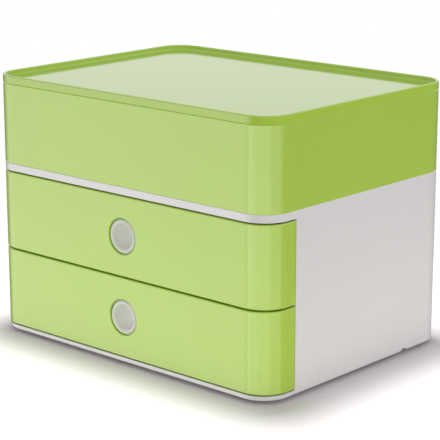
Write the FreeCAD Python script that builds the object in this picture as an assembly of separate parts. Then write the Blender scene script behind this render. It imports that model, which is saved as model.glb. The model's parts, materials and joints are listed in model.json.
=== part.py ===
"""Desk drawer box with a lidded utensil box on top.

A white casing holds two drawers whose coloured fronts wrap round its front corners. A utensil box with
two loose dividers nests in the casing's top, and its lid is a shallow tray.

Frame: millimetres, +Z up, the drawers open towards -Y, and the origin is on the table under the centre.
Every outline is a rectangle with the same vertical corner radius, set in by walls and clearances.
"""

import FreeCAD, Part
import math
import os

Vector = FreeCAD.Vector

# Overall size
width = 260.0
depth = 195.0
height = 190.0
corner_radius = 20.0

# Heights of the stack, from the table up
foot_height = 2.8
casing_height = 123.9
lid_band = 5.8

# Casing
casing_wall = 2.5
base_thickness = 3.0
top_plate = 2.6
lip_width = 2.5
lip_height = 2.7
pan_depth = 1.0
pan_rim = 6.0
runner_width = 5.0
runner_thickness = 2.5
stop_length = 4.0
stop_engagement = 1.5
notch_width = 8.0
notch_height = 2.2
notch_reach = 3.5
notch_from_rear = 46.5

# Rubber feet
foot_radius = 6.0
foot_socket = 1.2
foot_pad_radius = 9.0
foot_inset = 24.0
foot_clearance = 0.1

# Drawer fronts
wing_length = 28.0
wing_gap = 0.5
front_wall = 2.5
front_flange = 2.0
front_depth = 12.0
front_gap_below = 0.8
front_gap = 1.2

# Finger grip: a round hole in the front, filled by a white dish that is clamped behind it
grip_radius = 12.85
grip_gap = 0.8
lip_breadth = 3.2
lip_bevel = 1.0
lip_recess = 0.3
dish_depth = 8.0
dish_wall = 1.5
dish_overlap = 3.5
collar_wall = 1.5
collar_height = 2.0
collar_clearance = 0.15

# Snap hooks that hold pieces together
hook_width = 10.0
hook_thickness = 1.6
hook_barb = 0.8
hook_barb_length = 1.5
hook_play = 0.1
hook_slot_clearance = 0.3

# Drawer trays
tray_wall = 2.0
tray_floor = 2.0
tray_draft = 0.6
tray_corner = 4.0
tray_floor_bevel = 2.5
side_clearance = 1.0
rear_clearance = 5.0
slide_gap = 0.3
skid_width = 2.0
skid_height = 0.8
stop_clearance = 0.6
tab_length = 10.0
tab_gap = 0.5
drawer_travel = 120.0
travel_play = 0.2

# Utensil box and its dividers
box_wall = 2.5
box_floor = 2.5
nest_clearance = 0.5
nest_gap = 0.3
nest_ring = 3.0
box_floor_bevel = 3.0
divider_offset = 42.0
divider_thickness = 2.0
divider_height = 46.0
divider_clearance = 0.3
divider_corner = 4.0
guide_depth = 2.5
guide_width = 1.5

# Lid
lid_rim = 2.2
tray_depth = 3.5
lid_bevel = 0.8
skirt_clearance = 0.4
skirt_wall = 1.6
skirt_depth = 5.0

# Edge rounding, and the finer bevels where two pieces meet
soft_edge = 0.8
fine_edge = 0.4

# Levels and planes that follow from the sizes above
y_front = -depth / 2
y_rear = depth / 2
half_width = width / 2
z_casing = foot_height
z_bay = z_casing + base_thickness
z_lip = z_casing + casing_height
z_nest = z_lip - lip_height
z_ceiling = z_nest - top_plate
z_lid = height - lid_band
y_wing = y_front + wing_length
y_tray_front = y_front + front_depth
y_tray_rear = y_rear - casing_wall - rear_clearance
tray_inset = max(casing_wall, front_wall) + side_clearance
inner_half = half_width - casing_wall
inner_radius = corner_radius - casing_wall
front_height = (z_ceiling - z_bay - front_gap_below - 2 * front_gap) / 2
front_pitch = front_height + front_gap
z_lower_front = z_bay + front_gap_below
z_runner = z_bay + front_pitch
drawers = {"lower": (z_bay, z_lower_front), "upper": (z_runner, z_lower_front + front_pitch)}
y_tab = y_tray_rear - corner_radius - tab_length
y_stop = y_tab - drawer_travel - travel_play
tab_over_seat = front_pitch - runner_thickness - tab_gap
stop_over_seat = tab_over_seat - stop_engagement
tray_height = stop_over_seat - stop_clearance - skid_height - slide_gap
foot_places = [
    (side * (half_width - foot_inset), end * (y_rear - foot_inset)) for side in (-1, 1) for end in (-1, 1)
]


def outline(half, y0, y1, front_radius, rear_radius):
    """A closed wire round a rectangle centred on X, with its own radius on the front and rear corners."""
    corners = [
        (-half, y0, front_radius, 180),
        (half, y0, front_radius, 270),
        (half, y1, rear_radius, 0),
        (-half, y1, rear_radius, 90),
    ]
    edges = []
    start = last = None
    for x, y, radius, first_angle in corners:
        centre = Vector(x - math.copysign(radius, x), y + (radius if y == y0 else -radius), 0)
        points = [
            centre + Vector(radius * math.cos(math.radians(a)), radius * math.sin(math.radians(a)), 0)
            for a in (first_angle, first_angle + 45, first_angle + 90)
        ]
        if last is not None and (points[0] - last).Length > 1e-6:
            edges.append(Part.LineSegment(last, points[0]).toShape())
        if radius > 0:
            edges.append(Part.Arc(*points).toShape())
        start = start or points[0]
        last = points[2]
    edges.append(Part.LineSegment(last, start).toShape())
    return Part.Wire(edges)


def prism(half, y0, y1, z0, z1, front_radius, rear_radius=None):
    """The outline above, raised from z0 to z1."""
    wire = outline(half, y0, y1, front_radius, front_radius if rear_radius is None else rear_radius)
    wire.translate(Vector(0, 0, z0))
    return Part.Face(wire).extrude(Vector(0, 0, z1 - z0))


def inset_prism(inset, z0, z1):
    """The box's own outline set in by this much all round, raised from z0 to z1."""
    return prism(half_width - inset, y_front + inset, y_rear - inset, z0, z1, corner_radius - inset)


def block(x0, x1, y0, y1, z0, z1):
    """A plain rectangular block between two corners."""
    return Part.makeBox(x1 - x0, y1 - y0, z1 - z0, Vector(x0, y0, z0))


def mirrored(shape):
    """The same piece on the other side of the YZ plane."""
    return shape.mirror(Vector(0, 0, 0), Vector(1, 0, 0))


def both_sides(shape):
    """The piece and its mirror image."""
    return [shape, mirrored(shape)]


def level_edges(shape, z):
    """The edges that lie in the horizontal plane z."""
    return [e for e in shape.Edges if abs(e.BoundBox.ZMin - z) < 1e-4 and abs(e.BoundBox.ZMax - z) < 1e-4]


def level_loop(shape, z, half, y0, y1):
    """The edges in plane z that run along the border of the given rectangle."""
    found = []
    for edge in level_edges(shape, z):
        middle = edge.valueAt((edge.FirstParameter + edge.LastParameter) / 2)
        on_side = half - abs(middle.x)
        on_end = min(middle.y - y0, y1 - middle.y)
        corner = corner_radius * (1 - math.sqrt(0.5)) + 1e-3
        straight = min(abs(on_side), abs(on_end)) < 1e-3
        round_end = edge.Curve.TypeId == "Part::GeomCircle" and max(on_side, on_end) < corner
        if straight or round_end:
            found.append(edge)
    return found


def softened(shape, radius, edges):
    """The shape with these edges rounded."""
    return shape.makeFillet(radius, edges)


def broken(shape, width, edges):
    """The shape with these edges broken by a small flat."""
    return shape.makeChamfer(width, edges)


def hook(x, z, y_root, y_hold, up):
    """A snap hook along +Y from y_root. Its barb grips behind the plane y_hold, above it or below."""
    z0, z1 = z - hook_thickness / 2, z + hook_thickness / 2
    y_barb = y_hold + hook_play
    y_tip = y_barb + hook_barb_length
    face = z1 if up > 0 else z0
    barb = [
        Vector(x - hook_width / 2, y_barb, face),
        Vector(x - hook_width / 2, y_barb, face + up * hook_barb),
        Vector(x - hook_width / 2, y_tip, face),
    ]
    wedge = Part.Face(Part.makePolygon(barb + barb[:1])).extrude(Vector(hook_width, 0, 0))
    beam = block(x - hook_width / 2, x + hook_width / 2, y_root, y_tip, z0, z1)
    return beam.fuse(wedge)


def casing_shell():
    """Base, side walls, rear corners and recessed top in one moulding, open at the front."""
    body = inset_prism(0.0, z_casing, z_lip)
    body = broken(body, soft_edge, level_edges(body, z_casing))
    body = broken(body, fine_edge, level_edges(body, z_lip))
    past = depth
    bay = prism(inner_half, y_front - past, y_rear - casing_wall, z_bay, z_ceiling, 0.0, inner_radius)
    mouth = block(-width, width, y_front - past, y_wing, z_bay, z_ceiling)
    nest = inset_prism(lip_width, z_nest, z_lip + past)
    body = body.cut([bay, mouth, nest])
    body = body.fuse(runners()).removeSplitter()
    return body.cut([base_pan()] + foot_sockets() + side_notches())


def runners():
    """Ledges that carry the upper drawer, and the stops that both drawers' tabs meet."""
    y0 = y_wing + wing_gap
    x0, x1 = inner_half - runner_width, inner_half + casing_wall / 2
    y1 = y_rear - casing_wall / 2
    ledge = block(x0, x1, y0, y1, z_runner - runner_thickness, z_runner)
    inside = prism(x1, y_front, y1, z_bay, z_ceiling, corner_radius - casing_wall / 2)
    pieces = both_sides(ledge.common(inside))
    for seat, top in ((z_bay, z_runner - runner_thickness), (z_runner, z_ceiling)):
        stop = block(x0, x1, y_stop - stop_length, y_stop, seat + stop_over_seat, top + casing_wall / 2)
        pieces += both_sides(stop)
    return pieces


def base_pan():
    """The shallow hollow under the base, which leaves a rim and a full-thickness pad at each foot."""
    pan = inset_prism(pan_rim, 0, z_casing + pan_depth)
    pads = [Part.makeCylinder(foot_pad_radius, height, Vector(x, y, 0)) for x, y in foot_places]
    return pan.cut(pads)


def foot_sockets():
    """Round sockets that the feet are pressed into."""
    radius = foot_radius + foot_clearance
    return [Part.makeCylinder(radius, z_casing + foot_socket, Vector(x, y, 0)) for x, y in foot_places]


def side_notches():
    """A low arch in the bottom edge of each side wall."""
    radius = (notch_width**2 / 4 + notch_height**2) / (2 * notch_height)
    centre = Vector(half_width - notch_reach, y_rear - notch_from_rear, z_casing + notch_height - radius)
    return both_sides(Part.makeCylinder(radius, notch_reach + casing_wall, centre, Vector(1, 0, 0)))


def foot(x, y):
    """A rubber foot, bevelled round its sole."""
    pad = Part.makeCylinder(foot_radius, z_casing + foot_socket, Vector(x, y, 0))
    return broken(pad, soft_edge, level_edges(pad, 0))


def front(z0):
    """Hollow drawer front: a wall that wraps both corners, closed above and below, with a finger hole."""
    z1 = z0 + front_height
    y_end = y_wing - wing_gap
    body = prism(half_width, y_front, y_end, z0, z1, corner_radius, 0.0)
    rims = []
    for z in (z0, z1):
        rims += level_loop(body, z, half_width, y_front, height)
    body = softened(body, soft_edge, rims)
    y_inside = y_front + front_wall
    inside = (half_width - front_wall, y_inside, y_end + 1)
    radii = (corner_radius - front_wall, 0.0)
    hollow = prism(*inside, z0 + front_flange, z1 - front_flange, *radii)
    behind = prism(*inside, z0 - 1, z1 + 1, *radii)
    behind = behind.cut(block(-width, width, y_front, y_tray_front, z0 - 1, z1 + 1))
    body = body.cut([hollow, behind])
    z_grip = z0 + front_height / 2
    body = body.fuse([grip_collar(z_grip)] + front_hooks(z0, y_inside))
    hole = Part.makeCylinder(grip_radius, front_wall + 2, Vector(0, y_front - 1, z_grip), Vector(0, 1, 0))
    body = body.cut(hole)
    return broken(body, fine_edge, [e for e in body.Edges if is_ring(e, grip_radius, y_front)])


def is_ring(edge, radius, y):
    """True for a circle of this radius about a Y axis in the plane y."""
    if edge.Curve.TypeId != "Part::GeomCircle":
        return False
    flat = abs(edge.BoundBox.YMin - y) < 1e-4 and abs(edge.BoundBox.YMax - y) < 1e-4
    return flat and abs(edge.Curve.Radius - radius) < 1e-4


def dish_radius():
    """Outer radius of the grip dish's flange."""
    return grip_radius + dish_overlap


def grip_collar(z):
    """Ring inside the front that centres the grip dish."""
    inner = dish_radius() + collar_clearance
    start = Vector(0, y_front + front_wall - 0.5, z)
    reach = collar_height + 0.5
    ring = Part.makeCylinder(inner + collar_wall, reach, start, Vector(0, 1, 0))
    return ring.cut(Part.makeCylinder(inner, reach, start, Vector(0, 1, 0)))


def hook_places(z0):
    """Where the front's four hooks pass the tray's front wall: (x, z, side the barb is on)."""
    x = half_width / 2
    z_tray = z0 - front_gap_below + slide_gap + skid_height
    room = hook_slot_clearance + hook_barb + hook_thickness / 2
    low = z_tray + tray_floor + tray_floor_bevel + room
    high = z_tray + tray_height - hook_thickness - room
    return [(side * x, z, up) for side in (-1, 1) for z, up in ((low, -1), (high, 1))]


def front_hooks(z0, y_inside):
    """The four hooks on the back of a front."""
    return [hook(x, z, y_inside - 0.5, y_tray_front + tray_wall, up) for x, z, up in hook_places(z0)]


def grip_dish(z0):
    """White finger dish: a bevelled lip in the hole, a bowl, and a flange and skirt clamped behind."""
    lip_outer = grip_radius - grip_gap
    mouth = lip_outer - lip_breadth
    y_mouth = lip_recess + lip_bevel
    sag = dish_depth - y_mouth
    bowl = (mouth**2 + sag**2) / (2 * sag)
    inner, outer = dish_radius() - dish_wall, dish_radius()
    y_flange, y_back = front_wall + dish_wall, dish_depth + dish_wall
    corners = [
        Vector(mouth, y_mouth, 0),
        Vector(mouth + lip_bevel, lip_recess, 0),
        Vector(lip_outer - lip_bevel, lip_recess, 0),
        Vector(lip_outer, y_mouth, 0),
        Vector(lip_outer, front_wall, 0),
        Vector(outer, front_wall, 0),
        Vector(outer, front_depth, 0),
        Vector(inner, front_depth, 0),
        Vector(inner, y_flange, 0),
        Vector(lip_outer, y_flange, 0),
        Vector(mouth, y_back, 0),
        Vector(0, y_back, 0),
        Vector(0, dish_depth, 0),
    ]
    edges = [Part.LineSegment(a, b).toShape() for a, b in zip(corners, corners[1:])]
    edges.append(arc_from_axis(dish_depth - bowl, bowl, mouth))
    dish = Part.Face(Part.Wire(edges)).revolve(Vector(0, 0, 0), Vector(0, 1, 0), 360)
    dish.translate(Vector(0, y_front, z0 + front_height / 2))
    return dish


def arc_from_axis(y_centre, radius, reach):
    """The arc about a centre on the Y axis, from the axis out to this distance from it."""
    turn = math.asin(reach / radius)
    points = [
        Vector(radius * math.sin(a), y_centre + radius * math.cos(a), 0) for a in (0, turn / 2, turn)
    ]
    return Part.Arc(*points).toShape()


def tray(seat, z_front):
    """White drawer tray on two skids, with slots for the front's hooks and two stop tabs at the rear."""
    z0 = seat + slide_gap + skid_height
    z1 = z0 + tray_height
    cavity = tray_form(tray_wall, z0 + tray_floor, z1)
    y_inside = y_tray_front + tray_wall
    corners = [e for e in cavity.Edges if e.BoundBox.YMax < y_inside + 1e-3 and e.BoundBox.ZLength > 1]
    cavity = softened(cavity, tray_corner, corners)
    cavity = broken(cavity, tray_floor_bevel, level_edges(cavity, z0 + tray_floor))
    body = tray_form(0.0, z0, z1).cut(cavity)
    x1 = half_width - tray_inset
    tab = block(x1 - tray_wall, x1, y_tab, y_tab + tab_length, z1 - tray_wall, seat + tab_over_seat)
    x_skid = inner_half - runner_width / 2
    skid = block(
        x_skid - skid_width / 2,
        x_skid + skid_width / 2,
        y_front + corner_radius,
        y_tray_rear - corner_radius,
        z0 - skid_height,
        z0 + tray_floor / 2,
    )
    body = body.fuse(both_sides(tab) + both_sides(skid)).removeSplitter()
    return body.cut(hook_slots(z_front))


def tray_form(inset, z0, z1):
    """The tray's outline set in by this much and widening upwards with the draft, cut flat in front."""
    levels = []
    for z, draft in ((z0, tray_draft), (z1, 0.0)):
        off = tray_inset + inset + draft
        front_radius = corner_radius - off
        rear_radius = inner_radius - side_clearance - inset - draft
        wire = outline(
            half_width - off, y_front + off, y_tray_rear - inset - draft, front_radius, rear_radius
        )
        wire.translate(Vector(0, 0, z))
        levels.append(wire)
    form = Part.makeLoft(levels, True, True)
    return form.cut(block(-width, width, y_front, y_tray_front + inset, z0 - 1, z1 + 1))


def hook_slots(z0):
    """Openings in the tray's front wall, each just larger than a hook with its barb."""
    slots = []
    for x, z, up in hook_places(z0):
        half = hook_width / 2 + hook_slot_clearance
        low = z - hook_thickness / 2 - hook_slot_clearance - (hook_barb if up < 0 else 0)
        high = z + hook_thickness / 2 + hook_slot_clearance + (hook_barb if up > 0 else 0)
        slots.append(block(x - half, x + half, y_tray_front - 1, y_tray_front + tray_wall + 1, low, high))
    return slots


def utensil_box():
    """Open box whose base ring nests in the casing's top, with guides for the dividers."""
    ring_inset = lip_width + nest_clearance
    z_ring = z_nest + nest_gap
    z_under = z_ring + box_floor - 1.0
    z_floor = z_under + box_floor
    body = inset_prism(0.0, z_lip, z_lid)
    body = broken(body, fine_edge, level_edges(body, z_lip) + level_edges(body, z_lid))
    ring = inset_prism(ring_inset, z_ring, z_floor)
    under = inset_prism(ring_inset + nest_ring, z_ring - 1, z_under)
    cavity = inset_prism(box_wall, z_floor, z_lid + 1)
    cavity = broken(cavity, box_floor_bevel, level_edges(cavity, z_floor))
    body = body.fuse(ring).cut([under, cavity])
    return body.fuse(divider_guides(z_floor)).removeSplitter()


def divider_guides(z_floor):
    """Pairs of ribs on the front and rear walls that hold the dividers upright."""
    gap = divider_thickness / 2 + divider_clearance
    ribs = []
    for end in (y_front + box_wall, y_rear - box_wall):
        inward = guide_depth if end < 0 else -guide_depth
        outward = -box_wall / 2 if end < 0 else box_wall / 2
        y0, y1 = sorted((end + inward, end + outward))
        for centre in (-divider_offset, divider_offset):
            for x in (centre - gap - guide_width, centre + gap):
                ribs.append(block(x, x + guide_width, y0, y1, z_floor - 1, z_floor + divider_height))
    return ribs


def divider(x):
    """Loose partition that drops between the guides, its lower corners cut to clear the floor's bevel."""
    z_floor = z_nest + nest_gap + 2 * box_floor - 1.0
    y0, y1 = y_front + box_wall + divider_clearance, y_rear - box_wall - divider_clearance
    z0 = z_floor
    plate = block(x - divider_thickness / 2, x + divider_thickness / 2, y0, y1, z0, z0 + divider_height)
    lower = [e for e in level_edges(plate, z0) if e.BoundBox.XLength > 1]
    plate = broken(plate, box_floor_bevel + divider_clearance, lower)
    upper = [e for e in level_edges(plate, z0 + divider_height) if e.BoundBox.XLength > 1]
    return softened(plate, divider_corner, upper)


def lid():
    """Tray-shaped lid: a plate with a raised rim, and a skirt that drops into the utensil box."""
    z_floor = height - tray_depth
    skirt_inset = box_wall + skirt_clearance
    body = inset_prism(0.0, z_lid, height)
    well = inset_prism(lid_rim, z_floor, height + 1)
    well = broken(well, lid_bevel, level_edges(well, z_floor))
    skirt = inset_prism(skirt_inset, z_lid - skirt_depth, z_floor)
    inside = inset_prism(skirt_inset + skirt_wall, z_lid - skirt_depth - 1, z_lid)
    body = body.fuse(skirt).cut([well, inside]).removeSplitter()
    body = softened(body, soft_edge, level_edges(body, height))
    outer = level_loop(body, z_lid, half_width, y_front, y_rear)
    return broken(body, fine_edge, outer)


def build():
    """Every piece by name, each a solid in its closed position."""
    pieces = {
        "casing_shell": casing_shell(),
        "utensil_box": utensil_box(),
        "divider_left": divider(-divider_offset),
        "divider_right": divider(divider_offset),
        "lid": lid(),
    }
    for (x, y), name in zip(foot_places, ("front_left", "rear_left", "front_right", "rear_right")):
        pieces["foot_" + name] = foot(x, y)
    for name, (seat, z_front) in drawers.items():
        pieces[name + "_tray"] = tray(seat, z_front)
        pieces[name + "_front"] = front(z_front)
        pieces[name + "_grip_cup"] = grip_dish(z_front)
    return pieces


def main():
    """Writes one STEP file for each piece."""
    os.makedirs("parts", exist_ok=True)
    for name, shape in build().items():
        shape.exportStep("parts/" + name + ".step")
        print(name, "solids", len(shape.Solids), "valid", shape.isValid(), "volume", round(shape.Volume, 1))


main()
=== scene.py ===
"""Finishes, light and camera for the desk drawer box with its utensil box.

Every moulding keeps its mesh from the frame. This script gives each one the finish of the real plastic or
rubber, stands the box on a pale floor and lights it as a small product is lit in a studio.
"""

import bmesh
import bpy
import json
import math
from mathutils import Matrix, Vector

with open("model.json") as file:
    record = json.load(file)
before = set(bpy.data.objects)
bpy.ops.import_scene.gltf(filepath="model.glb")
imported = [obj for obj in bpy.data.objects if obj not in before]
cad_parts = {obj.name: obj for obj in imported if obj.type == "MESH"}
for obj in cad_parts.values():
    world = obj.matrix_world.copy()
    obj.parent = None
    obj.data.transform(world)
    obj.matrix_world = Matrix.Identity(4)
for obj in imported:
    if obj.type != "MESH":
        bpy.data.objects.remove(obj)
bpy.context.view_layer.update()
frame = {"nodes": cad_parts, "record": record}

MM = 0.001

# Colours of the plastics and the rubber, as sRGB hex
LIME = "B4D64C"
WHITE = "E9E7E5"
# The finger dishes' white is greyed below the casing's white: painted shade for the recess they sit in
DISH_WHITE_PAINTED_SHADE = "DADED2"
BLACK_RUBBER = "1E1E20"
FLOOR_WHITE = "F1ECEF"

# Camera: degrees, then metres, then millimetres of lens and sensor
CAMERA_AZIMUTH = 42.02
CAMERA_ELEVATION = 14.27
CAMERA_ROLL = -0.04
CAMERA_DISTANCE = 1.21976
CAMERA_TARGET = Vector((0.00221, -0.0005, 0.08579))
CAMERA_LENS = 138.8
SENSOR_WIDTH = 36

# Polystyrene: the spread of noise that is used, how far it moves the shine and the tone, the width of the
# smears in millimetres, the index of refraction, and the roughness and index of the clear sheen
NOISE_RANGE = (0.3, 0.7)
SHINE_RANGE = (0.96, 1.05)
TONE_RANGE = (0.995, 1.005)
SMEAR_SIZE = 35
POLYSTYRENE_IOR = 1.59
COAT_ROUGHNESS = 0.06
COAT_IOR = 1.5

# Rubber: roughness, index of refraction, then the width and height of its grain in millimetres
RUBBER_ROUGHNESS = 0.75
RUBBER_IOR = 1.5
RUBBER_GRAIN = 0.6
RUBBER_GRAIN_HEIGHT = 0.05

# The floor is whole out to the first radius and gone at the second, in metres
FLOOR_WHOLE = 0.23
FLOOR_GONE = 0.34

# Brightness of the world, where 1 is white: seen directly, and as the light that it gives
SEEN_LEVEL = 1.0
ROOM_LEVEL = 0.5

# What the polish mirrors: a pale card in front and to the left, brightest at its middle. CARD_SPREAD is the
# cosine of the angle at which it has faded to the dim surroundings. It lies far enough left that the sides
# don't mirror its middle at a steep angle from behind, where the white casing would lose its edge.
CARD_AZIMUTH = -48
CARD_ELEVATION = -10
CARD_SPREAD = 0.75
CARD_LEVEL = 2.5
DIM_LEVEL = 0.16

# The heights, as the sine of the elevation, between which the ground fades into the card and the card into
# the wall above
CARD_BOTTOM = (-0.8, -0.45)
CARD_TOP = (-0.08, 0.12)
GROUND_LEVEL = 0.7
WALL_LEVEL = 1.13

# Lamps: name, azimuth and elevation in degrees, distance, width and height in metres, and radiance.
# The softboxes light the box, and the floor lamp lights the floor alone. The strips stand side by side from
# the front round to the right, and show only as reflections in the utensil box and the drawer fronts.
SOFTBOXES = {
    "key": (24, 18, 1.6, 1.0, 1.0, 1.04),
    "side": (112, 18, 1.6, 1.0, 1.0, 1.6),
    "overhead": (0, 80, 1.4, 1.4, 1.4, 0.12),
    "rear": (222, 16, 1.4, 1.6, 0.7, 0.1),
}
STRIP_LAMPS = {
    "front_strip": (0, -13, 1.6, 0.92, 0.9, 2.4),
    "near_strip": (38, -13, 1.6, 1.23, 0.9, 2.0),
    "far_strip": (80, -13, 1.6, 1.23, 0.9, 1.15),
}
FLOOR_LAMPS = {
    "floor_top": (239, 87.2, 1.2, 0.26, 0.26, 72.0),
}
LAMP_TARGET = Vector((0, 0, 0.1))
STRIP_NODES = ("utensil_box", "upper_front", "lower_front")


def linear(code):
    """An sRGB hex colour as linear RGBA."""
    channels = [int(code[i:i + 2], 16) / 255 for i in (0, 2, 4)]
    return [c / 12.92 if c <= 0.04045 else ((c + 0.055) / 1.055) ** 2.4 for c in channels] + [1.0]


def add(tree, kind, settings=None, **inputs):
    """Adds a node, sets its properties, and sets or links its inputs.

    An input goes by its name, with _ for a space, or by its number as i0, i1 and so on.
    """
    node = tree.nodes.new(kind)
    for name, value in (settings or {}).items():
        setattr(node, name, value)
    for name, value in inputs.items():
        numbered = name[0] == "i" and name[1:].isdigit()
        socket = node.inputs[int(name[1:]) if numbered else name.replace("_", " ")]
        if isinstance(value, bpy.types.NodeSocket):
            tree.links.new(value, socket)
        else:
            socket.default_value = value
    return node


def towards(azimuth, elevation):
    """The direction of this azimuth and elevation in degrees. Azimuth 0 is the front and 90 the right."""
    a, e = math.radians(azimuth), math.radians(elevation)
    return Vector((math.sin(a) * math.cos(e), -math.cos(a) * math.cos(e), math.sin(e)))


def new_material(name):
    """An empty material and its node tree."""
    material = bpy.data.materials.new(name)
    material.use_nodes = True
    material.node_tree.nodes.clear()
    return material, material.node_tree


def moulded_plastic(name, colour, roughness, coat, ripple, ripple_height, grain, grain_height):
    """Injection moulded polystyrene: a flat colour under a polish that copies the mould.

    Broad sink ripples bend the reflections a little, a fine grain softens them, and handling leaves faint
    changes in the shine. Ripples and grain are given by width and height in millimetres. The grain is drawn
    far wider than a real mould leaves it, which would be too fine to show.
    """
    material, tree = new_material(name)
    place = add(tree, "ShaderNodeTexCoord").outputs["Object"]
    broad = add(tree, "ShaderNodeTexNoise", Vector=place, Scale=1 / (ripple * MM), Detail=1.0)
    fine = add(tree, "ShaderNodeTexNoise", Vector=place, Scale=1 / (grain * MM), Detail=2.0)
    smear = add(tree, "ShaderNodeTexNoise", Vector=place, Scale=1 / (SMEAR_SIZE * MM), Detail=4.0)
    shine = add(
        tree,
        "ShaderNodeMapRange",
        Value=smear.outputs["Fac"],
        From_Min=NOISE_RANGE[0],
        From_Max=NOISE_RANGE[1],
        To_Min=roughness * SHINE_RANGE[0],
        To_Max=roughness * SHINE_RANGE[1],
    )
    tone = add(
        tree,
        "ShaderNodeMapRange",
        Value=broad.outputs["Fac"],
        From_Min=NOISE_RANGE[0],
        From_Max=NOISE_RANGE[1],
        To_Min=TONE_RANGE[0],
        To_Max=TONE_RANGE[1],
    )
    flow = add(
        tree,
        "ShaderNodeHueSaturation",
        Color=linear(colour),
        Saturation=1.0,
        Value=tone.outputs["Result"],
    )
    waves = add(
        tree, "ShaderNodeBump", Height=broad.outputs["Fac"], Distance=ripple_height * MM, Strength=1.0
    )
    texture = add(
        tree,
        "ShaderNodeBump",
        Height=fine.outputs["Fac"],
        Distance=grain_height * MM,
        Strength=1.0,
        Normal=waves.outputs["Normal"],
    )
    shader = add(
        tree,
        "ShaderNodeBsdfPrincipled",
        Base_Color=flow.outputs["Color"],
        Roughness=shine.outputs["Result"],
        IOR=POLYSTYRENE_IOR,
        Coat_Weight=coat,
        Coat_Roughness=COAT_ROUGHNESS,
        Coat_IOR=COAT_IOR,
        Normal=texture.outputs["Normal"],
    )
    add(tree, "ShaderNodeOutputMaterial", Surface=shader.outputs["BSDF"])
    return material


def moulded_rubber(name, colour):
    """Thermoplastic rubber foot: dark, matt and slightly grainy from a spark-eroded mould."""
    material, tree = new_material(name)
    place = add(tree, "ShaderNodeTexCoord").outputs["Object"]
    grain = add(tree, "ShaderNodeTexNoise", Vector=place, Scale=1 / (RUBBER_GRAIN * MM), Detail=3.0)
    bump = add(
        tree,
        "ShaderNodeBump",
        Height=grain.outputs["Fac"],
        Distance=RUBBER_GRAIN_HEIGHT * MM,
        Strength=1.0,
    )
    shader = add(
        tree,
        "ShaderNodeBsdfPrincipled",
        Base_Color=linear(colour),
        Roughness=RUBBER_ROUGHNESS,
        IOR=RUBBER_IOR,
        Normal=bump.outputs["Normal"],
    )
    add(tree, "ShaderNodeOutputMaterial", Surface=shader.outputs["BSDF"])
    return material


def finish_nodes():
    """Gives each moulding the material of its slot.

    Polystyrene takes a colour, roughness and coat, then the width and height of its ripples and of its grain.
    """
    # Polished mould: soft reflections under a clear sheen
    lime = moulded_plastic("lime_polystyrene_polished", LIME, 0.3, 0.5, 60, 0.006, 0.8, 0.002)
    # Mirror polished mould: the lid's floor shows a pale, sharp reflection
    lime_mirror = moulded_plastic("lime_polystyrene_high_polish", LIME, 0.1, 0.0, 60, 0.004, 0.8, 0.0)
    # Blasted mould: the dividers look even and slightly dull inside the box
    lime_satin = moulded_plastic("lime_polystyrene_satin", LIME, 0.42, 0.0, 40, 0.02, 0.8, 0.006)
    # Polished mould with less clear sheen than the lime, so the casing shows soft shading
    white = moulded_plastic("white_polystyrene_polished", WHITE, 0.3, 0.3, 60, 0.006, 0.8, 0.002)
    # Blasted mould: the trays look duller than the casing round them
    white_satin = moulded_plastic("white_polystyrene_satin", WHITE, 0.42, 0.0, 40, 0.02, 0.8, 0.006)
    # Blasted mould in a white greyed below the casing's white, as painted shade for the recess round the
    # finger dishes: they look softer and a little darker than the casing
    dish_painted_shade = moulded_plastic("off_white_polystyrene_satin_painted_shade", DISH_WHITE_PAINTED_SHADE, 0.42, 0.0, 15, 0.01, 0.8, 0.002)
    # Spark-eroded mould: the feet stay dark and matt in the shadow under the box
    rubber = moulded_rubber("thermoplastic_rubber_matt", BLACK_RUBBER)
    finishes = {
        "casing": white,
        "drawer_tray": white_satin,
        "drawer_front": lime,
        "grip_cup": dish_painted_shade,
        "utensil_box": lime,
        "divider": lime_satin,
        "lid": lime_mirror,
        "foot": rubber,
    }
    slots = {part["node"]: part["material_slot"] for part in frame["record"]["subparts"]}
    for node, piece in frame["nodes"].items():
        piece.data.materials.clear()
        piece.data.materials.append(finishes[slots[node]])


def floor():
    """White sweep round the box, lit to white by its own lamp and fading out before its edge shows.

    It is clear to glossy rays, so the polish mirrors the world through it and not the paper.
    """
    material, tree = new_material("white_paper_sweep")
    place = add(tree, "ShaderNodeTexCoord").outputs["Object"]
    reach = add(tree, "ShaderNodeVectorMath", {"operation": "LENGTH"}, i0=place)
    fade = add(
        tree,
        "ShaderNodeMapRange",
        {"interpolation_type": "SMOOTHSTEP"},
        Value=reach.outputs["Value"],
        From_Min=FLOOR_WHOLE,
        From_Max=FLOOR_GONE,
    )
    mirrored = add(tree, "ShaderNodeLightPath").outputs["Is Glossy Ray"]
    gone = add(tree, "ShaderNodeMath", {"operation": "MAXIMUM"}, i0=fade.outputs["Result"], i1=mirrored)
    paper = add(tree, "ShaderNodeBsdfDiffuse", Color=linear(FLOOR_WHITE))
    nothing = add(tree, "ShaderNodeBsdfTransparent")
    sweep = add(
        tree,
        "ShaderNodeMixShader",
        i0=gone.outputs["Value"],
        i1=paper.outputs["BSDF"],
        i2=nothing.outputs["BSDF"],
    )
    add(tree, "ShaderNodeOutputMaterial", Surface=sweep.outputs["Shader"])
    sheet = bmesh.new()
    bmesh.ops.create_grid(sheet, x_segments=1, y_segments=1, size=FLOOR_GONE)
    mesh = bpy.data.meshes.new("floor")
    sheet.to_mesh(mesh)
    sheet.free()
    mesh.materials.append(material)
    piece = bpy.data.objects.new("floor", mesh)
    bpy.context.scene.collection.objects.link(piece)
    return piece


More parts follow.
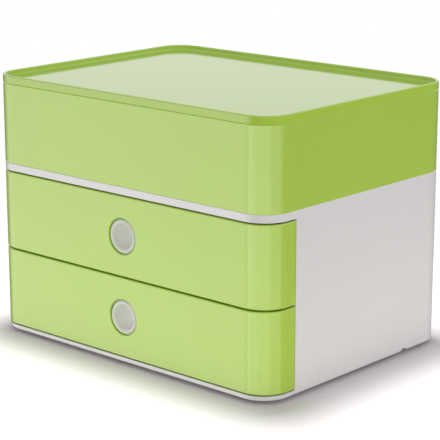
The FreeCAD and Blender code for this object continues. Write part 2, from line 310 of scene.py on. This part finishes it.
def panel_lamp(name, azimuth, elevation, distance, width, height, radiance, mirrored=False):
    """A rectangular lamp that faces the box and shows this radiance over its whole face.

    A mirrored one shows only in reflections. Any other gives only light and stays out of reflections.
    """
    lamp = bpy.data.lights.new(name, "AREA")
    lamp.shape = "RECTANGLE"
    lamp.size, lamp.size_y = width, height
    lamp.energy = radiance * math.pi * width * height
    back = towards(azimuth, elevation)
    piece = bpy.data.objects.new(name, lamp)
    piece.location = LAMP_TARGET + back * distance
    piece.rotation_euler = back.to_track_quat("Z", "Y").to_euler()
    piece.visible_camera = False
    piece.visible_glossy = mirrored
    piece.visible_diffuse = not mirrored
    bpy.context.scene.collection.objects.link(piece)
    return piece


def hang_lamps(settings, pieces, name, mirrored=False):
    """Hangs lamps that light these pieces alone. Every other piece still casts a shadow from them."""
    lit = bpy.data.collections.new(name)
    for piece in pieces:
        lit.objects.link(piece)
    for lamp_name, setting in settings.items():
        lamp = panel_lamp(lamp_name, *setting, mirrored=mirrored)
        lamp.light_linking.receiver_collection = lit


def room():
    """The world: white where seen directly, dimmer as light, and a card, ground and wall in the polish."""
    world = bpy.data.worlds.new("white_room")
    world.use_nodes = True
    tree = world.node_tree
    tree.nodes.clear()
    path = add(tree, "ShaderNodeLightPath")
    heading = add(tree, "ShaderNodeTexCoord").outputs["Generated"]
    facing = add(
        tree,
        "ShaderNodeVectorMath",
        {"operation": "DOT_PRODUCT"},
        i0=heading,
        i1=towards(CARD_AZIMUTH, CARD_ELEVATION),
    )
    card = add(
        tree,
        "ShaderNodeMapRange",
        Value=facing.outputs["Value"],
        From_Min=CARD_SPREAD,
        From_Max=1.0,
        To_Min=DIM_LEVEL,
        To_Max=CARD_LEVEL,
    )
    height = add(tree, "ShaderNodeSeparateXYZ", Vector=heading).outputs["Z"]
    low = add(
        tree,
        "ShaderNodeMapRange",
        {"interpolation_type": "SMOOTHSTEP"},
        Value=height,
        From_Min=CARD_BOTTOM[0],
        From_Max=CARD_BOTTOM[1],
        To_Min=GROUND_LEVEL,
        To_Max=card.outputs["Result"],
    )
    surroundings = add(
        tree,
        "ShaderNodeMapRange",
        {"interpolation_type": "SMOOTHSTEP"},
        Value=height,
        From_Min=CARD_TOP[0],
        From_Max=CARD_TOP[1],
        To_Min=low.outputs["Result"],
        To_Max=WALL_LEVEL,
    )
    mirrored = add(
        tree,
        "ShaderNodeMapRange",
        Value=path.outputs["Is Glossy Ray"],
        To_Min=ROOM_LEVEL,
        To_Max=surroundings.outputs["Result"],
    )
    level = add(
        tree,
        "ShaderNodeMapRange",
        Value=path.outputs["Is Camera Ray"],
        To_Min=mirrored.outputs["Result"],
        To_Max=SEEN_LEVEL,
    )
    sky = add(tree, "ShaderNodeBackground", Color=(1, 1, 1, 1), Strength=level.outputs["Result"])
    add(tree, "ShaderNodeOutputWorld", Surface=sky.outputs["Background"])
    bpy.context.scene.world = world


def camera():
    """Long lens from the front right, a little above the lid."""
    back = towards(CAMERA_AZIMUTH, CAMERA_ELEVATION)
    data = bpy.data.cameras.new("camera")
    data.lens = CAMERA_LENS
    data.sensor_width = SENSOR_WIDTH
    piece = bpy.data.objects.new("camera", data)
    piece.location = CAMERA_TARGET + back * CAMERA_DISTANCE
    turn = back.to_track_quat("Z", "Y").to_matrix() @ Matrix.Rotation(math.radians(CAMERA_ROLL), 3, "Z")
    piece.rotation_euler = turn.to_euler()
    bpy.context.scene.collection.objects.link(piece)
    bpy.context.scene.camera = piece


finish_nodes()
hang_lamps(FLOOR_LAMPS, [floor()], "lit_by_floor_lamps")
hang_lamps(SOFTBOXES, frame["nodes"].values(), "lit_by_softboxes")
hang_lamps(STRIP_LAMPS, [frame["nodes"][node] for node in STRIP_NODES], "lit_by_strips", mirrored=True)
room()
camera()
bpy.context.scene.view_settings.view_transform = "Standard"
